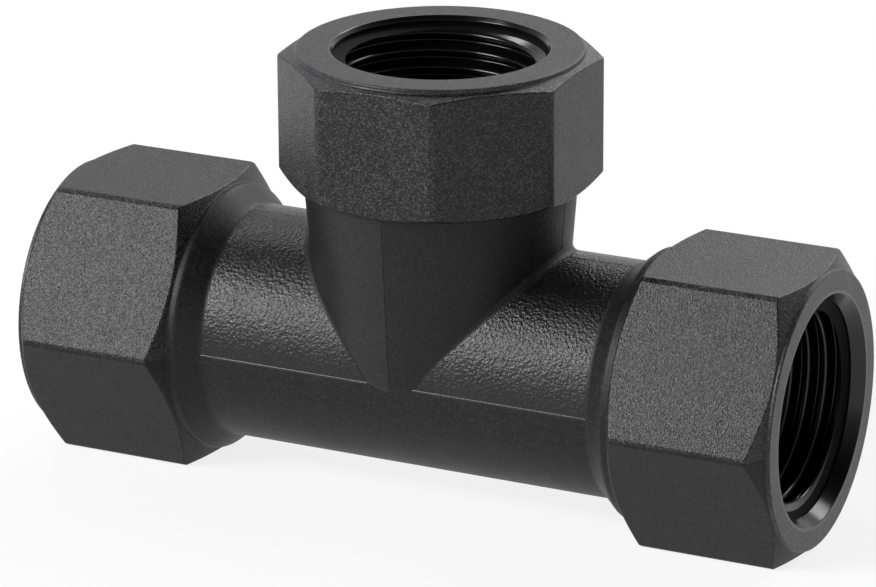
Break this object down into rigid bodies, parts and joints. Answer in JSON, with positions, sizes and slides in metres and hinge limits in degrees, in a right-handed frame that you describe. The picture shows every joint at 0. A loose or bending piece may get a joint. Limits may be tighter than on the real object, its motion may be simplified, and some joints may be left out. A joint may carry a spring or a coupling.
{
  "type": "tee connector",
  "caption": "Moulded plastic tee connector: a straight run with hexagonal threaded collars and a branch with an octagonal threaded collar.",
  "frame": {"origin": "middle of the part on the plane of the two lowest collar flats, straight below the point where the run and branch axes cross", "axes": "+X along the run, +Z along the branch towards its face, +Y completes the right-handed frame"},
  "size_m": [0.082, 0.032, 0.0457],
  "materials": {
    "moulding": "fine spark-eroded grain, glass-filled black polymer, smoother and glossier on the pipe walls"
  },
  "bodies": {
    "root": {"body": "moulding"}
  },
  "joints": []
}
